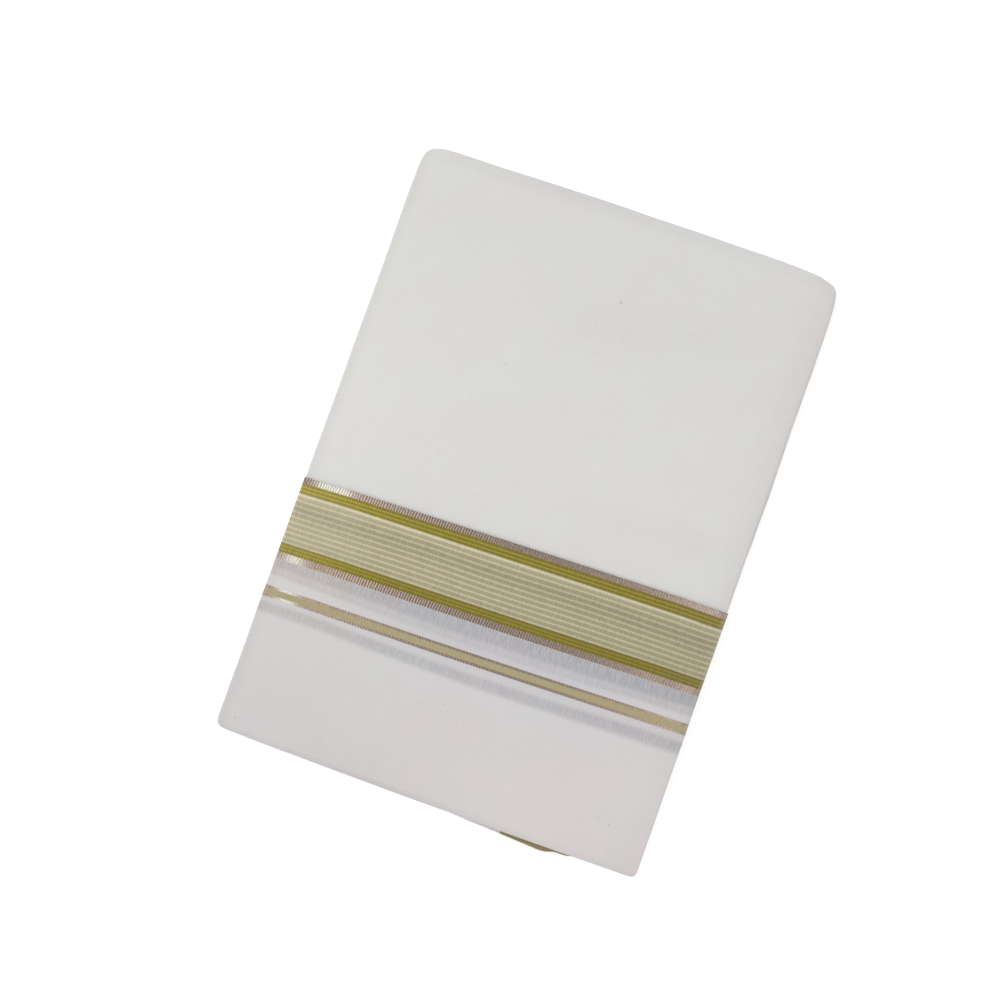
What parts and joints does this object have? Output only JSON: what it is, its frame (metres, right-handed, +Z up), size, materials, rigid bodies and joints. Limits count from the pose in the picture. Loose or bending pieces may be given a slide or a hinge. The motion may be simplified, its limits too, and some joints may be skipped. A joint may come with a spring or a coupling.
{
  "type": "folded dhoti cloth",
  "caption": "White cotton dhoti folded into a flat packet, with a woven cream and olive border edged in metallic thread across the flap.",
  "frame": {"origin": "on the surface that the packet lies on, under the middle of its outline", "axes": "+X along the border, from the closed folds to the open edges; +Y from the bottom edge, where the flap turns over, to the top fold; +Z up"},
  "size_m": [0.2569, 0.3654, 0.0177],
  "materials": {
    "bordered_cotton": "fine plain weave, pressed, with woven olive, cream and metallic stripes",
    "white_cotton": "fine plain weave, pressed smooth",
    "layered_cotton": "fine plain weave, folded edges of many plies",
    "olive_border": "woven border in olive cotton"
  },
  "bodies": {
    "root": {"border_flap": "bordered_cotton", "front_panel": "white_cotton", "back_panel": "white_cotton", "hidden_layers": "layered_cotton", "inner_border_edge": "olive_border"}
  },
  "joints": []
}
